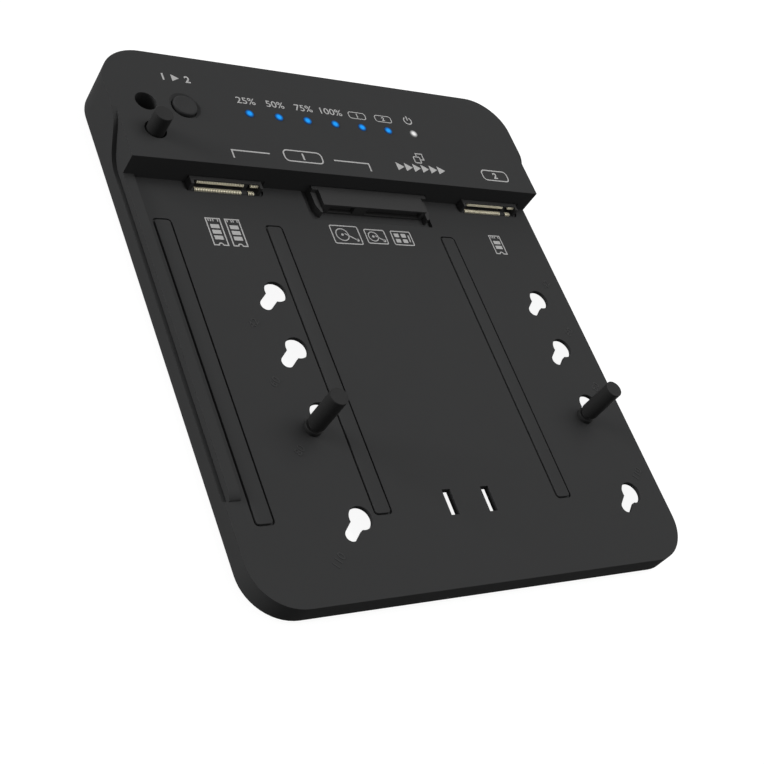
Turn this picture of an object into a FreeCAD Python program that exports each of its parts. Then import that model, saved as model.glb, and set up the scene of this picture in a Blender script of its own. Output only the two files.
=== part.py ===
"""Drive duplicator: a flat dock with two card sockets, one drive socket and a control head.

Millimetres. +X is to the right, +Y to the back (the head), +Z up, and the feet stand on Z = 0.
"""
import FreeCAD, Part
import os
from math import cos, pi, radians, sin, tan

V = FreeCAD.Vector
past = 1.0                   # cutters reach past a face by this, and ribs into a wall

# ---------------------------------------------------------------- driving dimensions
length = 164.7               # front to back
width = 141.55               # across the back part of the head
side_step = 1.2              # the drive plate's right side and the head's front stand back by this
corner_r = 12.9              # corners of the outline
corner_back_left_r = 13.85   # the larger one, by the storage wells
tray_h = 5.9                 # skirt, from its lower edge to the drive plate
head_h = 8.0                 # head above the drive plate
head_depth = 39.05           # head, front to back
foot_h = 1.6                 # rubber feet below the skirt
shell_t = 1.8                # wall of the mouldings

ledge_drop = 0.95            # ledge outside the ridge, below the plate
ledge_bend_y = 5.1           # behind the head's front, where the ledge starts to climb
ledge_slope = 45.0           # degrees
ledge_low_r = 9.0            # rounding at the foot of the climb
ledge_high_r = 7.0           # rounding at its top
ridge_w = 3.0                # guide ridge along the left edge
ridge_h = 1.2
ridge_front = 28.6           # from the skirt's front to the ridge's end
ridge_nose = 2.6             # length of its rounded end

card_lengths = (42.0, 60.0, 80.0, 110.0)     # card sizes that the keyholes serve
card_seat = 1.5              # a card's edge, behind the head's front
column_left_in = 30.7        # left card column, from the left side
column_right_in = 16.15      # right card column, from the plate's right side
key_big_r = 3.3              # keyhole, round end
key_neck_r = 1.76            # keyhole, neck
key_travel = 6.06            # from the neck's end to the round end
key_angle = 45.0             # degrees, towards the right and the back
key_land_t = 1.2             # plate thickness round a keyhole

slot_w = 2.65                # two small slots near the front
slot_l = 7.4
slot_gap = 12.8
slot_front = 23.6            # their middle, from the skirt's front

pad_w = 5.0                  # rubber strips
pad_l = 90.0
pad_gap = 0.25               # clearance round a strip
pad_bed = 0.7                # depth of its bed
pad_rise = 0.4               # strip above the plate
pad_front = 66.9             # middle of the strips, from the skirt's front
pad_corner_r = 1.0
pad_left_in = 8.575          # outer strip's middle, from the left side
pad_mid_in = 42.075          # middle strip, from the left side
pad_right_in = 37.725        # right strip, from the plate's right side

row_back = 19.0              # button and lamps, from the head's back
lamp_first_in = 42.175       # first lamp, from the left side
lamp_count = 7
lamp_pitch = 9.6
lamp_r = 1.35
lamp_gap = 0.05
button_in = 22.175           # button, from the left side
button_r = 3.5
button_gap = 0.2
button_rise = 0.5            # button above the head
button_travel = 0.8
dish_r = 4.6                 # dish round the button
dish_depth = 0.7
well_in = 10.625             # two storage wells, from the left side
well_pitch = 10.0
well_r = 3.1
well_wall = 1.2
well_floor = 2.8             # bottom of a well, below the plate

post_r = 2.55                # card post, shaft and foot
post_h = 14.65               # above the plate
post_foot_h = 1.35
post_groove_r = 1.6
post_groove_h = 1.15
post_stem_r = 1.7
post_head_r = 3.05           # below the plate
post_head_h = 1.1

board_t = 1.6                # main board
board_drop = 1.9             # board's upper face, below the plate
board_gap = 1.1              # board to the housing's walls
cover_t = 1.4                # lower cover
cover_gap = 0.15
cover_front = 24.0           # cover reaches this far in front of the head

m2_w = 22.0                  # card socket
m2_h = 4.2
m2_depth = 8.7
m2_lip = 2.5                 # lower lip, in front of the head's face
m2_pitch = 0.5
m2_left_pins = 29
m2_key_gap = 4               # pin places without a contact
m2_right_pins = 5

sata_w = 40.6                # drive socket
sata_off = 0.85              # right of the card columns' middle
sata_face_w = 36.6
sata_top = 2.5               # its top, above the plate
sata_reach = 6.6             # its face, in front of the head
sata_collar = 1.2            # wider part of the top, in front of the head

sata_open_gap = 1.25         # opening in the plate, mean clearance at the socket's ends
sata_open_l = 10.2
sata_open_h = 2.8
sata_step = 1.3              # shallow step in front of it
sata_face_gap = 0.4          # from the step to the socket's face
sata_step_radii = [0.6, 0.6, 0, 0]
sata_open_radii = [0, 0, 0.5, 1.5]            # opening in the head's front
sata_arm_w = 1.75            # guide arms at its ends
sata_arm_reach = 8.4
sata_arm_top = 1.2
sata_arm_taper_l = 2.5
sata_arm_taper_w = 1.1
sata_signal = (-15.55, -7.25)        # ends of its two slots, from its middle
sata_power = (-2.75, 16.85)
m2_open_gap = 1.2            # opening for a card socket, clearance at its ends
m2_open_l = 3.6
m2_open_h = 2.6
m2_open_radii = [2, 2, 0, 0]

rib_t = 1.4                  # ribs under the plate
rib_rise = 1.0
rib_left_in = (14.775, 50.775)       # long ribs, from the left side
rib_right_in = (49.575, 23.575)      # long ribs, from the plate's right side
rib_back = 4.0               # cross ribs, in front of each keyhole's neck
key_land_grow = 1.5          # relief round a keyhole, under the plate
side_base = 5.0              # wider back part, in front of the head, at the skirt
case_boss_in = 12.775        # bosses for the case screws, from the body's sides
case_boss_front = 5.0        # from the cover's front edge
case_boss_back = 8.0         # from the back
case_boss_w = 6.4
case_screw_r = 1.2
case_screw_l = 4.7
board_boss_in = 32.775       # first boss of the board, from the left side
board_boss_off = (-11.0, 11.5)       # the others, from the power socket
board_boss_back = 7.0
board_boss_w = 4.6
board_screw_r = 1.0
board_screw_l = 4.0
screw_gap = 0.05
foot_r = 4.5
foot_in = 11.775             # from the body's sides
foot_front_in = 10.5         # front pair, from the front
foot_back_in = 22.0          # back pair, from the back
foot_pad_w = 11.0            # blocks in the plate's corners that carry the front pair
vent_count = 7
vent_w = 1.6
vent_l = 16.0
vent_pitch = 4.2

port_gap = 0.15              # rear side: opening round each port
usb_in = 69.575              # data socket, from the plate's right side
usb_shell_w = 8.94
usb_shell_h = 3.26
usb_shell_l = 7.35
usb_shell_t = 0.3
usb_sink = 0.3               # its mouth, inside the back's face
jack_in = 47.575             # power socket, from the plate's right side
jack_w = 9.0
jack_l = 13.0
jack_h = 7.8
jack_rise = 3.9              # barrel's axis above the board
jack_barrel_r = 3.7
jack_bore_r = 3.05
jack_bore_l = 9.5
jack_pin_r = 1.05
jack_pin_in = 1.0            # pin's end, inside the barrel's mouth
jack_gap = 0.2               # block to the back wall
rocker_in = 22.575           # rocker, from the plate's right side
rocker_rise = 3.3            # rocker's middle above the board
rocker_w = 12.6
rocker_h = 7.4
rocker_body_l = 9.0
bezel_w = 15.0
bezel_h = 9.4
bezel_r = 1.0
bezel_sink = 1.0             # bezel's bed in the back's face
bezel_back_t = 1.4           # extra wall behind the bed
rocker_cap_w = 10.4
rocker_cap_h = 5.4
rocker_tilt = 6.0            # degrees, each way
rocker_pivot_in = 2.6        # pivot, inside the back's face

button_flange_r = 4.3
button_flange_t = 0.8
button_stem_w = 3.2
switch_w = 6.0
switch_h = 3.5
plunger_w = 3.2
plunger_rise = 1.5
plunger_sink = 1.2           # plunger inside the switch
plunger_spare = 0.2          # room under it when the button is down
lamp_block_w = 3.4           # square lower part of a lamp guide
lamp_chip = (1.6, 1.2, 0.9)
lamp_rise = 0.15
button_edge = 0.35

rim_t = 1.2                  # lower cover's locating rim
rim_h = 0.7
board_post_in = 30.775       # cover's posts under the board, from the body's sides
board_post_ys = (-3.0, 20.0) # from the head's front
board_post_w = 3.2
case_head_r = 2.5
case_hole_gap = 0.2
case_head_h = 1.1
case_head_in = 0.1
case_head_gap = 0.12
vent_y = 8.0
board_head_r = 1.9
board_head_h = 0.8
board_front = 11.5           # board, in front of the head
board_clear = 0.5
board_hole_gap = 0.1
chip_w = 9.0                 # bridge chips and controller
chip_in = 16.0               # bridge chips and coils, behind the head's front
bridge_h = 0.9
controller_in = 13.4         # controller and memory, behind the head's front
controller_h = 1.2
memory_off = 13.0            # memory chip, from the controller
memory_w = 6.0
memory_l = 5.0
memory_h = 1.5
coil_off = (-17.425, -9.425, 8.575)  # coils, from the right card column
coil_w = 6.0
coil_h = 3.0
can_in = 25.0                # upright capacitors, behind the head's front
can_off = (11.0, 16.3)       # and from the power socket
can_r = 2.5
can_h = 6.5
small_count = 8              # row of small capacitors
small_in = 15.0
small_off = 16.075           # first one, from the left card column
small_pitch = 2.6
small_w = 1.2
small_l = 2.0
small_h = 0.8
post_slack = 0.1

m2_lower = 0.35              # slot's lower side, below the plate
m2_upper = 1.95              # slot's upper side, above the plate
m2_set_back = 1.3            # upper lip behind the lower one
m2_cheek = 0.9
m2_key_x = 6.25
m2_key_w = 1.2
m2_key_root = 0.2            # key's overlap into the housing
m2_chamfer = 0.3             # on the lower lip's front edge
m2_first_x = -8.95
m2_pin_w = 0.3
m2_pin_t = 0.3
m2_pin_in = 0.3              # contact's tip, behind its lip
m2_pin_root = 0.3            # its root, behind the seat
m2_pin_drop = 1.1            # upper contact's bent tip
sata_tail = 8.0
sata_slot_l = 5.5
sata_tongue_z = 1.3          # tongue above the step
sata_tongue_t = 1.0
sata_tongue_in = 0.6         # tongue's end, from its slot's end
sata_tongue_back = 0.8       # its front edge, behind the face
sata_floor_t = 0.7           # walls below and above the slots
sata_roof_t = 0.6
sata_contact_w = 0.6
sata_contact_t = 0.15
sata_contact_in = 1.2        # contacts behind the face
sata_contacts = (7, 15)
usb_back_t = 1.0
usb_tongue_w = 6.7
usb_tongue_t = 0.7
usb_tongue_in = 0.6          # tongue's end, inside the shell's mouth
usb_root_l = 1.2             # thicker root of the tongue
usb_root_t = 1.6
jack_sink = 0.3
rocker_side = 0.25           # clearance round the rocker
rocker_well = 6.0
rocker_pin_r = 0.9
rocker_out = 2.1             # rocker's face above its pivot
rocker_behind = 1.0          # its back, below the pivot
rocker_dip = 0.55            # hollow in the middle of its face
rocker_radii = [0.8, 0.8, 0.5, 6.0, 0.5]      # two at its back, end, hollow, end
rocker_stub_l = 0.8
terminal_pitch = 3.6
terminal_w = 1.6
terminal_t = 0.6
terminal_low = 0.4           # below the rocker's middle
terminal_l = 2.6

# ---------------------------------------------------------------- worked-out places
left = -width / 2
right = width / 2
front = -length / 2
back = length / 2
plate_right = right - side_step
inset_left = left + side_step
z_skirt = foot_h
z_plate = z_skirt + tray_h
z_head = z_plate + head_h
z_ceiling = z_head - shell_t
head_front = back - head_depth
seat_y = head_front + card_seat
column_x = (left + column_left_in, plate_right - column_right_in)
column_mid = (column_x[0] + column_x[1]) / 2
plate_mid = (left + plate_right) / 2
row_y = back - row_back
z_board = z_plate - board_drop
z_under_board = z_board - board_t
z_cover_in = z_skirt + cover_t
z_well = z_plate - well_floor
post_rest_y = seat_y - card_lengths[2]
well_y = (row_y, row_y - well_pitch)
cover_edge_y = head_front - cover_front
z_jack = z_board + jack_rise
z_rocker = z_board + rocker_rise
sata_x = column_mid + sata_off
sata_open_w = sata_w + 2 * sata_open_gap
m2_open_w = m2_w + 2 * m2_open_gap
lamp_first_x = left + lamp_first_in
button_x = left + button_in
well_x = left + well_in
usb_x = plate_right - usb_in
jack_x = plate_right - jack_in
rocker_x = plate_right - rocker_in


# ---------------------------------------------------------------- shapes
def box(x0, x1, y0, y1, z0, z1):
    """Box between two corners."""
    return Part.makeBox(x1 - x0, y1 - y0, z1 - z0, V(x0, y0, z0))


def rod(x, y, z0, z1, r):
    """Upright cylinder."""
    return Part.makeCylinder(r, z1 - z0, V(x, y, z0))


def rounded_face(points, radii):
    """Face inside a polygon whose corners are rounded by arcs; radius 0 keeps a corner sharp."""
    count = len(points)
    edges = []
    starts = []
    ends = []
    for i in range(count):
        here = points[i]
        to_last = (points[i - 1] - here).normalize()
        to_next = (points[(i + 1) % count] - here).normalize()
        if radii[i] <= 0:
            starts.append(here)
            ends.append(here)
            edges.append(None)
            continue
        half = to_last.getAngle(to_next) / 2
        cut = radii[i] / tan(half)
        a = here + to_last * cut
        b = here + to_next * cut
        middle = here + (to_last + to_next).normalize() * (radii[i] / sin(half) - radii[i])
        starts.append(a)
        ends.append(b)
        edges.append(Part.Arc(a, middle, b).toShape())
    wire = []
    for i in range(count):
        if edges[i] is not None:
            wire.append(edges[i])
        after = starts[(i + 1) % count]
        if ends[i].distanceToPoint(after) > 1e-6:
            wire.append(Part.makeLine(ends[i], after))
    return Part.Face(Part.Wire(wire))


def post(x, y, z0, z1, w):
    """Upright square block about x, y."""
    return box(x - w / 2, x + w / 2, y - w / 2, y + w / 2, z0, z1)


def pin(x, y, z0, z1, r):
    """Six-sided upright pin: a screw's shank, or its hole."""
    points = [V(x + r * cos(i * pi / 3), y + r * sin(i * pi / 3), z0) for i in range(6)]
    return Part.Face(Part.makePolygon(points + points[:1])).extrude(V(0, 0, z1 - z0))


def slab(x0, x1, y0, y1, z0, z1, radii):
    """Upright block on a rectangle; radii go round from the front left corner, anticlockwise."""
    corners = [V(x0, y0, z0), V(x1, y0, z0), V(x1, y1, z0), V(x0, y1, z0)]
    return rounded_face(corners, radii).extrude(V(0, 0, z1 - z0))


def side_profile(points, radii, x0, x1):
    """Solid from x0 to x1 with the profile given as (y, z) points."""
    face = rounded_face([V(x0, y, z) for y, z in points], radii)
    return face.extrude(V(x1 - x0, 0, 0))


def turned(points, x, y):
    """Solid turned about an upright axis from (radius, z) points."""
    face = Part.Face(Part.makePolygon([V(r, 0, z) for r, z in points + points[:1]]))
    solid = face.revolve(V(0, 0, 0), V(0, 0, 1), 360)
    solid.translate(V(x, y, 0))
    return solid


def joined(shapes):
    """One solid from shapes that touch or overlap."""
    return shapes[0].fuse(shapes[1:]).removeSplitter()


def save(name, shape):
    """Write one sub-part."""
    shape.exportStep("parts/" + name + ".step")
    print(name, len(shape.Solids), shape.isValid(), round(shape.Volume, 2))


# ---------------------------------------------------------------- upper housing
def keyhole(x, y, z0, z1):
    """Cutter for one keyhole whose neck ends at x, y."""
    ax = cos(radians(key_angle))
    ay = sin(radians(key_angle))
    bx = x + key_travel * ax
    by = y + key_travel * ay
    side = V(-ay, ax, 0) * key_neck_r
    ends = [V(x, y, z0), V(bx, by, z0)]
    path = [ends[0] + side, ends[0] - side, ends[1] - side, ends[1] + side]
    strip = Part.Face(Part.makePolygon(path + path[:1])).extrude(V(0, 0, z1 - z0))
    return joined([rod(x, y, z0, z1, key_neck_r), strip, rod(bx, by, z0, z1, key_big_r)])


def keyhole_relief(x, y):
    """Square-cornered pocket under a keyhole that leaves its land and lets a post's head pass."""
    g = key_land_grow
    n = key_neck_r + g
    b = key_big_r + g
    u0, u1 = key_travel - b, key_travel + b
    outline = [(-n, -n), (u0, -n), (u0, -b), (u1, -b), (u1, b), (u0, b), (u0, n), (-n, n)]
    points = [V(along, aside, z_skirt + rib_rise) for along, aside in outline]
    depth = tray_h - rib_rise - key_land_t
    shape = Part.Face(Part.makePolygon(points + points[:1])).extrude(V(0, 0, depth))
    shape.rotate(V(0, 0, 0), V(0, 0, 1), key_angle)
    shape.translate(V(x, y, 0))
    return shape


def keyhole_places():
    """Neck ends of the eight keyholes."""
    return [(x, seat_y - size) for x in column_x for size in card_lengths]


def skin_line():
    """Where the outer skin starts to climb, where it meets the head's top, and the ledge's height."""
    z_ledge = z_plate - ledge_drop
    foot_y = head_front + ledge_bend_y
    top_y = foot_y + (z_head - z_ledge) / tan(radians(ledge_slope))
    return foot_y, top_y, z_ledge


def left_side_space():
    """Space outside the ridge and the inset front part of the head, on the left."""
    foot_y, top_y, z_ledge = skin_line()
    nose = front + ridge_front
    over = z_head + 5
    points = [(nose, z_ledge), (foot_y, z_ledge), (top_y, z_head), (back, z_head), (back, over),
              (nose, over)]
    return side_profile(points, [0.8, ledge_low_r, ledge_high_r, 0, 0, 0], left - past, inset_left)


def right_side_space():
    """Space outside the drive plate and the inset front part of the head, on the right."""
    foot_y, top_y, z_ledge = skin_line()
    low = z_skirt - past
    low_y = foot_y - (z_ledge - low) / tan(radians(ledge_slope))
    over = z_head + 5
    points = [(front - past, low), (low_y, low), (top_y, z_head), (back, z_head), (back, over),
              (front - past, over)]
    return side_profile(points, [0, 0, ledge_high_r, 0, 0, 0], plate_right, right + past)


def ridge():
    """Guide ridge with a rounded front end."""
    y_nose = front + ridge_front
    y_full = y_nose + ridge_nose
    z_top = z_plate + ridge_h
    z_low = z_plate - ledge_drop
    x = inset_left
    centre = V(x, y_full, z_plate)
    oval = Part.Ellipse(V(x, y_nose, z_plate), V(x, y_full, z_top), centre)
    nose = Part.ArcOfEllipse(oval, 0, pi / 2).toShape()
    ends = [V(x, y_full, z_top), V(x, head_front + 1, z_top), V(x, head_front + 1, z_low),
            V(x, y_nose, z_low), V(x, y_nose, z_plate)]
    lines = [Part.makeLine(ends[i], ends[i + 1]) for i in range(4)]
    return Part.Face(Part.Wire([nose] + lines)).extrude(V(ridge_w, 0, 0))


def outer_form():
    """Closed outside form of the upper housing, before it is hollowed."""
    r = corner_r
    large = corner_back_left_r
    tray = slab(left, plate_right, front, back, z_skirt, z_plate, [r, r, r, large])
    wide = slab(left, right, head_front - side_base, back, z_skirt, z_plate, [0, 0, r, large])
    head = slab(left, right, head_front, back, z_plate, z_head, [0, 0, r, large])
    form = joined([tray, wide, head])
    return form.cut(right_side_space()).cut(left_side_space()).fuse(ridge()).removeSplitter()


def hollow():
    """Open space inside: under the drive plate and up into the head."""
    r = corner_r - shell_t
    large = corner_back_left_r - shell_t
    x0 = left + shell_t
    x1 = plate_right - shell_t
    low = slab(x0, x1, front + shell_t, back - shell_t, z_skirt - past, z_plate - shell_t, [r, r, r, large])
    high = slab(inset_left + shell_t, x1, head_front + shell_t, back - shell_t, z_skirt - past, z_ceiling,
                [0, 0, r, large])
    return low.fuse(high)


def ribs():
    """Ribs under the drive plate and the wall that closes off the board's space."""
    z0 = z_skirt + rib_rise
    z1 = z_plate - shell_t / 2
    y1 = cover_edge_y - cover_gap
    shapes = []
    for x in [left + inset for inset in rib_left_in] + [plate_right - inset for inset in rib_right_in]:
        shapes.append(box(x - rib_t / 2, x + rib_t / 2, front + past, y1, z0, z1))
    for size in card_lengths:
        y = seat_y - size - rib_back
        shapes.append(box(left + past, plate_right - past, y - rib_t / 2, y + rib_t / 2, z0, z1))
    shapes.append(box(left + past, plate_right - past, y1 - shell_t, y1, z_skirt, z1))
    return shapes


def case_boss_places():
    """Four bosses that take the case screws: two under the plate, two in the head's corners."""
    x = width / 2 - case_boss_in
    y0 = cover_edge_y + case_boss_front
    y1 = back - case_boss_back
    return [(-x, y0), (x, y0), (-x, y1), (x, y1)]


def board_boss_places():
    """Three bosses in the head that the main board is screwed to."""
    xs = [left + board_boss_in] + [jack_x + off for off in board_boss_off]
    return [(x, back - board_boss_back) for x in xs]


def bosses():
    """Screw bosses, foot pads and the storage wells' block, still without their holes."""
    shapes = []
    for i, (x, y) in enumerate(case_boss_places()):
        top = z_plate - shell_t / 2 if i < 2 else z_ceiling + shell_t / 2
        shapes.append(post(x, y, z_cover_in, top, case_boss_w))
    for x, y in board_boss_places():
        shapes.append(post(x, y, z_board, z_ceiling + shell_t / 2, board_boss_w))
    for x, y in foot_places()[:2]:
        shapes.append(post(x, y, z_skirt, z_plate - shell_t / 2, foot_pad_w))
    w = well_r + well_wall
    y0, y1 = well_y[1] - w, well_y[0] + w
    shapes.append(box(well_x - w, well_x + w, y0, y1, z_well - well_wall, z_ceiling + shell_t / 2))
    y_in = back - shell_t - bezel_back_t
    shapes.append(across(rocker_x, z_rocker, bezel_w + 2, bezel_h, 0, y_in, back - shell_t / 2))
    return shapes


def boss_holes():
    """Screw holes in the bosses, and the storage wells."""
    shapes = []
    for x, y in case_boss_places():
        shapes.append(pin(x, y, z_cover_in - past, z_skirt + case_screw_l + 0.5, case_screw_r))
    for x, y in board_boss_places():
        shapes.append(pin(x, y, z_board - past, z_board + board_screw_l, board_screw_r))
    for y in well_y:
        shapes.append(rod(well_x, y, z_well, z_head + past, well_r))
    return shapes


def card_openings():
    """Openings for the two card sockets, in the plate and the head's front."""
    shapes = []
    y1 = head_front + shell_t + past
    for x in column_x:
        shapes.append(slab(x - m2_open_w / 2, x + m2_open_w / 2, head_front - m2_open_l, y1,
                           z_plate - shell_t - past, z_plate + m2_open_h, m2_open_radii))
    return shapes


def drive_opening():
    """Opening for the drive socket, with a shallow step in front of it."""
    x0 = column_mid - sata_open_w / 2
    x1 = column_mid + sata_open_w / 2
    y_step = head_front - sata_open_l
    y1 = head_front + shell_t + past
    step = slab(x0, x1, y_step, head_front, z_plate - sata_step, z_plate + past, sata_step_radii)
    well = box(x0, x1, head_front - sata_reach - sata_face_gap, y1, z_plate - shell_t - past, z_plate + past)
    y0 = head_front - past
    z1 = z_plate + sata_open_h
    corners = [V(x0, y0, z_plate), V(x1, y0, z_plate), V(x1, y0, z1), V(x0, y0, z1)]
    window = rounded_face(corners, sata_open_radii).extrude(V(0, shell_t + 2 * past, 0))
    return [step, well, window]


def pad_places():
    """Left edge, right edge, front and back of each strip."""
    y = front + pad_front
    middles = (left + pad_left_in, left + pad_mid_in, plate_right - pad_right_in)
    return [(x - pad_w / 2, x + pad_w / 2, y - pad_l / 2, y + pad_l / 2) for x in middles]


def top_cuts():
    """Beds of the strips, keyholes, slots, lamp holes and the button's dish."""
    shapes = []
    g = pad_gap
    r = pad_corner_r + g
    for x0, x1, y0, y1 in pad_places():
        shapes.append(slab(x0 - g, x1 + g, y0 - g, y1 + g, z_plate - pad_bed, z_plate + past, [r] * 4))
    for x, y in keyhole_places():
        shapes.append(keyhole(x, y, z_skirt, z_plate + past))
        shapes.append(keyhole_relief(x, y))
    y0 = front + slot_front - slot_l / 2
    for side in (-1, 1):
        x0 = plate_mid + side * slot_gap / 2 - slot_w / 2
        shapes.append(box(x0, x0 + slot_w, y0, y0 + slot_l, z_skirt, z_plate + past))
    for x in lamp_places():
        shapes.append(rod(x, row_y, z_ceiling - past, z_head + past, lamp_r + lamp_gap))
    hole_r = button_r + button_gap
    dish = [(0, z_head - dish_depth), (hole_r, z_head - dish_depth), (dish_r, z_head),
            (dish_r, z_head + past), (0, z_head + past)]
    shapes.append(turned(dish, button_x, row_y))
    shapes.append(rod(button_x, row_y, z_ceiling - past, z_head, hole_r))
    return shapes


def rear_cuts():
    """Openings in the back wall for the data socket, the power socket and the rocker."""
    y0 = back - shell_t - bezel_back_t - 1
    usb_h = usb_shell_h + 2 * port_gap
    usb_w = usb_shell_w + 2 * port_gap
    z_usb = z_board + usb_shell_h / 2
    usb = across(usb_x, z_usb, usb_w, usb_h, usb_h / 2 - 0.01, y0, back + past)
    jack = Part.makeCylinder(jack_barrel_r + port_gap, back + past - y0, V(jack_x, y0, z_jack), V(0, 1, 0))
    rocker = across(rocker_x, z_rocker, rocker_w + 2 * port_gap, rocker_h + 2 * port_gap, 0, y0, back + past)
    bezel = across(rocker_x, z_rocker, bezel_w + 2 * port_gap, bezel_h + 2 * port_gap, bezel_r + port_gap,
                   back - bezel_sink, back + past)
    return [usb, jack, rocker, bezel]


def across(x, z, w, h, r, y0, y1):
    """Block on a rounded rectangle that faces the back, centred on x and z."""
    corners = [V(x - w / 2, y0, z - h / 2), V(x + w / 2, y0, z - h / 2), V(x + w / 2, y0, z + h / 2),
               V(x - w / 2, y0, z + h / 2)]
    return rounded_face(corners, [r] * 4).extrude(V(0, y1 - y0, 0))


def upper_housing():
    """The moulding that makes the drive plate, skirt, ridge and head."""
    form = outer_form().cut(hollow())
    limit = outer_form()
    inside = [shape.common(limit) for shape in ribs() + bosses()]
    form = form.fuse(inside)
    cuts = boss_holes() + card_openings() + drive_opening() + top_cuts() + rear_cuts()
    return form.cut(cuts).removeSplitter()


# ---------------------------------------------------------------- lower cover, feet and screws
def lower_cover():
    """Flat cover under the head with a locating rim, board posts, screw seats and vents."""
    g = shell_t + cover_gap
    r = corner_r - g
    large = corner_back_left_r - g
    x0, x1 = left + g, plate_right - g
    y0, y1 = cover_edge_y, back - g
    body = slab(x0, x1, y0, y1, z_skirt, z_cover_in, [0, 0, r, large])
    t = rim_t
    z_rim = z_cover_in + rim_h
    rim = slab(x0, x1, y0, y1, z_cover_in, z_rim, [0, 0, r, large])
    rim = rim.cut(slab(x0 + t, x1 - t, y0 + t, y1 - t, z_cover_in, z_rim, [0, 0, r - t, large - t]))
    parts = [body, rim]
    post_x = width / 2 - board_post_in
    for x in (-post_x, post_x):
        for y in board_post_ys:
            parts.append(post(x, head_front + y, z_cover_in, z_under_board, board_post_w))
    cuts = []
    hole_r = case_screw_r + case_hole_gap
    for x, y in case_boss_places():
        cuts.append(rod(x, y, z_skirt - past, z_cover_in + past, hole_r))
        cuts.append(post(x, y, z_cover_in, z_cover_in + 2, case_boss_w + 2 * cover_gap))
        cuts.append(turned([(0, z_skirt), (case_head_r, z_skirt), (hole_r, z_skirt + case_head_h),
                            (0, z_skirt + case_head_h)], x, y))
    y = head_front + vent_y
    for i in range(vent_count):
        x = (i - (vent_count - 1) / 2) * vent_pitch
        cuts.append(box(x - vent_w / 2, x + vent_w / 2, y, y + vent_l, z_skirt - past, z_cover_in + past))
    return joined(parts).cut(cuts).removeSplitter()


def foot_places():
    """The four rubber feet: front pair under the plate, back pair under the cover."""
    x = width / 2 - foot_in
    y0 = front + foot_front_in
    y1 = back - foot_back_in
    return [(-x, y0), (x, y0), (-x, y1), (x, y1)]


def rubber_foot(x, y):
    """Low disc stuck to a flat face."""
    return rod(x, y, 0, z_skirt, foot_r)


def case_screws():
    """Four countersunk screws, heads down."""
    r = case_screw_r - screw_gap
    head = case_head_r - case_head_gap
    z0 = z_skirt + case_head_in
    z1 = z_skirt + case_head_h
    points = [(0, z0), (head, z0), (r, z1), (0, z1)]
    return Part.makeCompound([joined([turned(points, x, y), pin(x, y, z1, z0 + case_screw_l, r)])
                              for x, y in case_boss_places()])


def board_screws():
    """Three screws with flat heads under the board."""
    r = board_screw_r - screw_gap
    z0 = z_under_board - board_head_h
    z1 = z_board + board_screw_l - 0.5
    shapes = []
    for x, y in board_boss_places():
        head = rod(x, y, z0, z_under_board, board_head_r)
        shapes.append(joined([head, pin(x, y, z_under_board, z1, r)]))
    return Part.makeCompound(shapes)


# ---------------------------------------------------------------- strips and posts
def pad_strip(place):
    """Raised rubber strip with rounded corners."""
    x0, x1, y0, y1 = place
    return slab(x0, x1, y0, y1, z_plate - pad_bed, z_plate + pad_rise, [pad_corner_r] * 4)


def card_post(x, y, z_foot):
    """Card post: head, stem, foot, groove for the card's notch, and shaft; z_foot is its foot's seat."""
    z_stem = z_foot - key_land_t - post_slack
    z_bottom = z_stem - post_head_h
    z_groove = z_foot + post_foot_h
    z_shaft = z_groove + post_groove_h
    z_top = z_foot + post_h
    points = [(0, z_bottom), (post_head_r, z_bottom), (post_head_r, z_stem), (post_stem_r, z_stem),
              (post_stem_r, z_foot), (post_r, z_foot), (post_r, z_groove),
              (post_groove_r, z_groove), (post_groove_r, z_shaft), (post_r, z_shaft), (post_r, z_top),
              (0, z_top)]
    return turned(points, x, y)


# ---------------------------------------------------------------- button, switch and lamps
def start_button():
    """Round button: cap with a bevelled edge, flange under the head's top, and stem."""
    z_top = z_head + button_rise
    z_flange = z_ceiling - button_flange_t
    z_stem = z_board + switch_h + plunger_rise
    e = button_edge
    points = [(0, z_flange), (button_flange_r, z_flange), (button_flange_r, z_ceiling), (button_r, z_ceiling),
              (button_r, z_top - e), (button_r - e, z_top), (0, z_top)]
    return joined([turned(points, button_x, row_y), post(button_x, row_y, z_stem, z_flange, button_stem_w)])


def start_switch():
    """Push switch on the board, with a bore for its plunger."""
    z1 = z_board + switch_h
    z_bore = z1 - plunger_sink - button_travel - plunger_spare
    body = post(button_x, row_y, z_board, z1, switch_w)
    return body.cut(post(button_x, row_y, z_bore, z1 + past, plunger_w + 2 * screw_gap))


def switch_plunger():
    """Plunger under the button's stem."""
    z = z_board + switch_h
    return post(button_x, row_y, z - plunger_sink, z + plunger_rise, plunger_w)


def lamp_places():
    """X of the seven lamps."""
    return [lamp_first_x + i * lamp_pitch for i in range(lamp_count)]


def lamp_guide(x):
    """Clear guide: square block over a lamp chip, and a round tip through the head's top."""
    block = post(x, row_y, z_board + lamp_chip[2], z_ceiling, lamp_block_w)
    return joined([block, rod(x, row_y, z_ceiling, z_head + lamp_rise, lamp_r)])


def lamp_chips():
    """Seven lamp chips on the board."""
    w, d, h = lamp_chip
    return Part.makeCompound([box(x - w / 2, x + w / 2, row_y - d / 2, row_y + d / 2, z_board, z_board + h)
                              for x in lamp_places()])


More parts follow.
